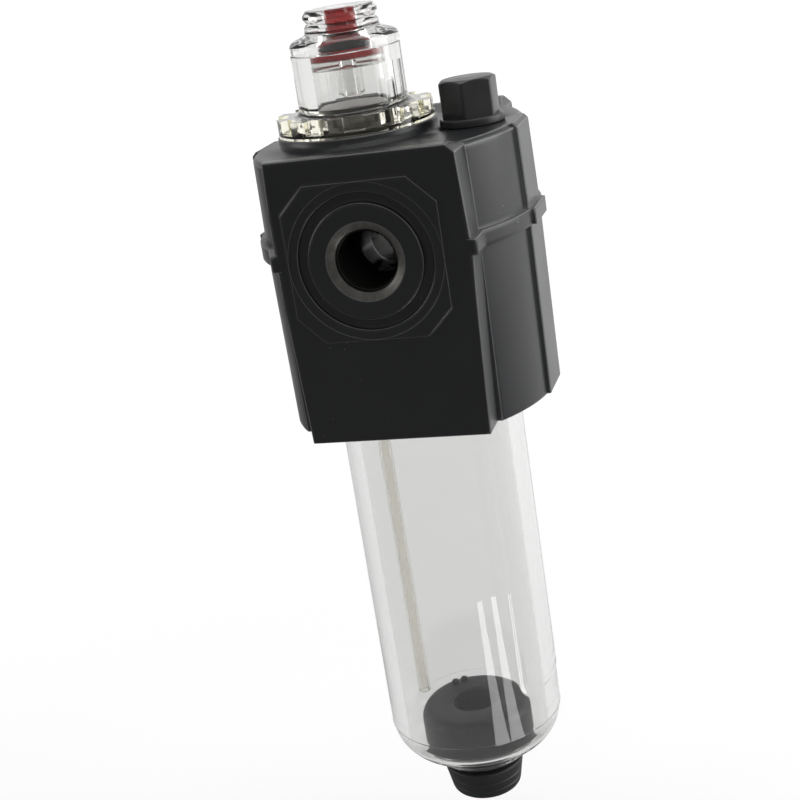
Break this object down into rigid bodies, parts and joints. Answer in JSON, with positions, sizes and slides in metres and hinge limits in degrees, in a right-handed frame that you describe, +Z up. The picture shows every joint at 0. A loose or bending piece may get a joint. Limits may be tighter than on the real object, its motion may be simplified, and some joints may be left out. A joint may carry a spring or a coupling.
{
  "type": "air line lubricator",
  "caption": "Miniature in-line air line lubricator: black casting with tapped ports, clear screw-in bowl with push drain, clear sight dome with red drip adjuster, and a hex fill plug.",
  "frame": {"origin": "centre of the inlet port's mouth, on the axis that runs through both ports", "axes": "+Y along the air passage from the inlet to the outlet, +Z up through the sight dome, +X to the side of the fill plug"},
  "size_m": [0.0404, 0.04, 0.1231],
  "materials": {
    "casting_black": "satin",
    "bowl_clear": "gloss",
    "dome_clear": "gloss",
    "drain_rubber": "satin",
    "seal_rubber": "matte",
    "siphon_nylon": "satin",
    "acetal_white": "satin",
    "ball_steel": "gloss",
    "adjuster_red": "satin",
    "plug_black": "satin",
    "sensor_rubber": "matte",
    "nozzle_brass": "satin"
  },
  "bodies": {
    "housing": {"body": "casting_black", "sight_dome": "dome_clear", "dome_seal": "seal_rubber", "adjuster_seal": "seal_rubber", "drip_nozzle": "dome_clear", "siphon_tube": "siphon_nylon", "siphon_fitting": "acetal_white", "flow_insert": "acetal_white", "fog_nozzle": "nozzle_brass", "bowl_check_seat": "acetal_white"},
    "bowl_ring": {"bowl_seal": "seal_rubber"},
    "bowl": {"bowl": "bowl_clear"},
    "drain": {"drain_plug": "drain_rubber"},
    "adjuster": {"adjusting_screw": "adjuster_red"},
    "plug_ring": {"fill_plug_seal": "seal_rubber"},
    "plug": {"fill_plug": "plug_black"},
    "sensor": {"flow_sensor": "sensor_rubber"},
    "siphon_ball": {"siphon_check_ball": "ball_steel"},
    "valve_ball": {"bowl_check_ball": "ball_steel"}
  },
  "joints": [
    {"name": "bowl_drop", "type": "slide", "parent": "housing", "child": "bowl_ring", "axis": [0, 0, -1], "range_m": [0, 0.009]},
    {"name": "bowl_turn", "type": "hinge", "parent": "bowl_ring", "child": "bowl", "pos_m": [0, 0.02, -0.05], "axis": [0, 0, -1], "range_deg": [0, 2160]},
    {"name": "drain_push", "type": "slide", "parent": "bowl", "child": "drain", "axis": [0, 0, 1], "range_m": [0, 0.0012], "stiffness_N_per_m": 2000},
    {"name": "adjuster_turn", "type": "hinge", "parent": "housing", "child": "adjuster", "pos_m": [-0.00435, 0.02, 0.025], "axis": [0, 0, 1], "range_deg": [0, 300]},
    {"name": "plug_lift", "type": "slide", "parent": "housing", "child": "plug_ring", "axis": [0, 0, 1], "range_m": [0, 0.006]},
    {"name": "plug_turn", "type": "hinge", "parent": "plug_ring", "child": "plug", "pos_m": [0.01215, 0.02, 0.0135], "axis": [0, 0, 1], "range_deg": [0, 2160]},
    {"name": "sensor_flex", "type": "hinge", "parent": "housing", "child": "sensor", "pos_m": [0, 0.02, 0.00345], "axis": [1, 0, 0], "range_deg": [0, 40], "stiffness_Nm_per_rad": 0.002},
    {"name": "siphon_ball_lift", "type": "slide", "parent": "housing", "child": "siphon_ball", "axis": [0, 0, 1], "range_m": [0, 0.0008]},
    {"name": "valve_ball_lift", "type": "slide", "parent": "housing", "child": "valve_ball", "axis": [0, 0, 1], "range_m": [0, 0.0008]}
  ],
  "couplings": [
    {"joint": "bowl_turn", "follows": "bowl_drop", "rad_per_m": 4188.7},
    {"joint": "plug_turn", "follows": "plug_lift", "rad_per_m": 6283.1}
  ]
}
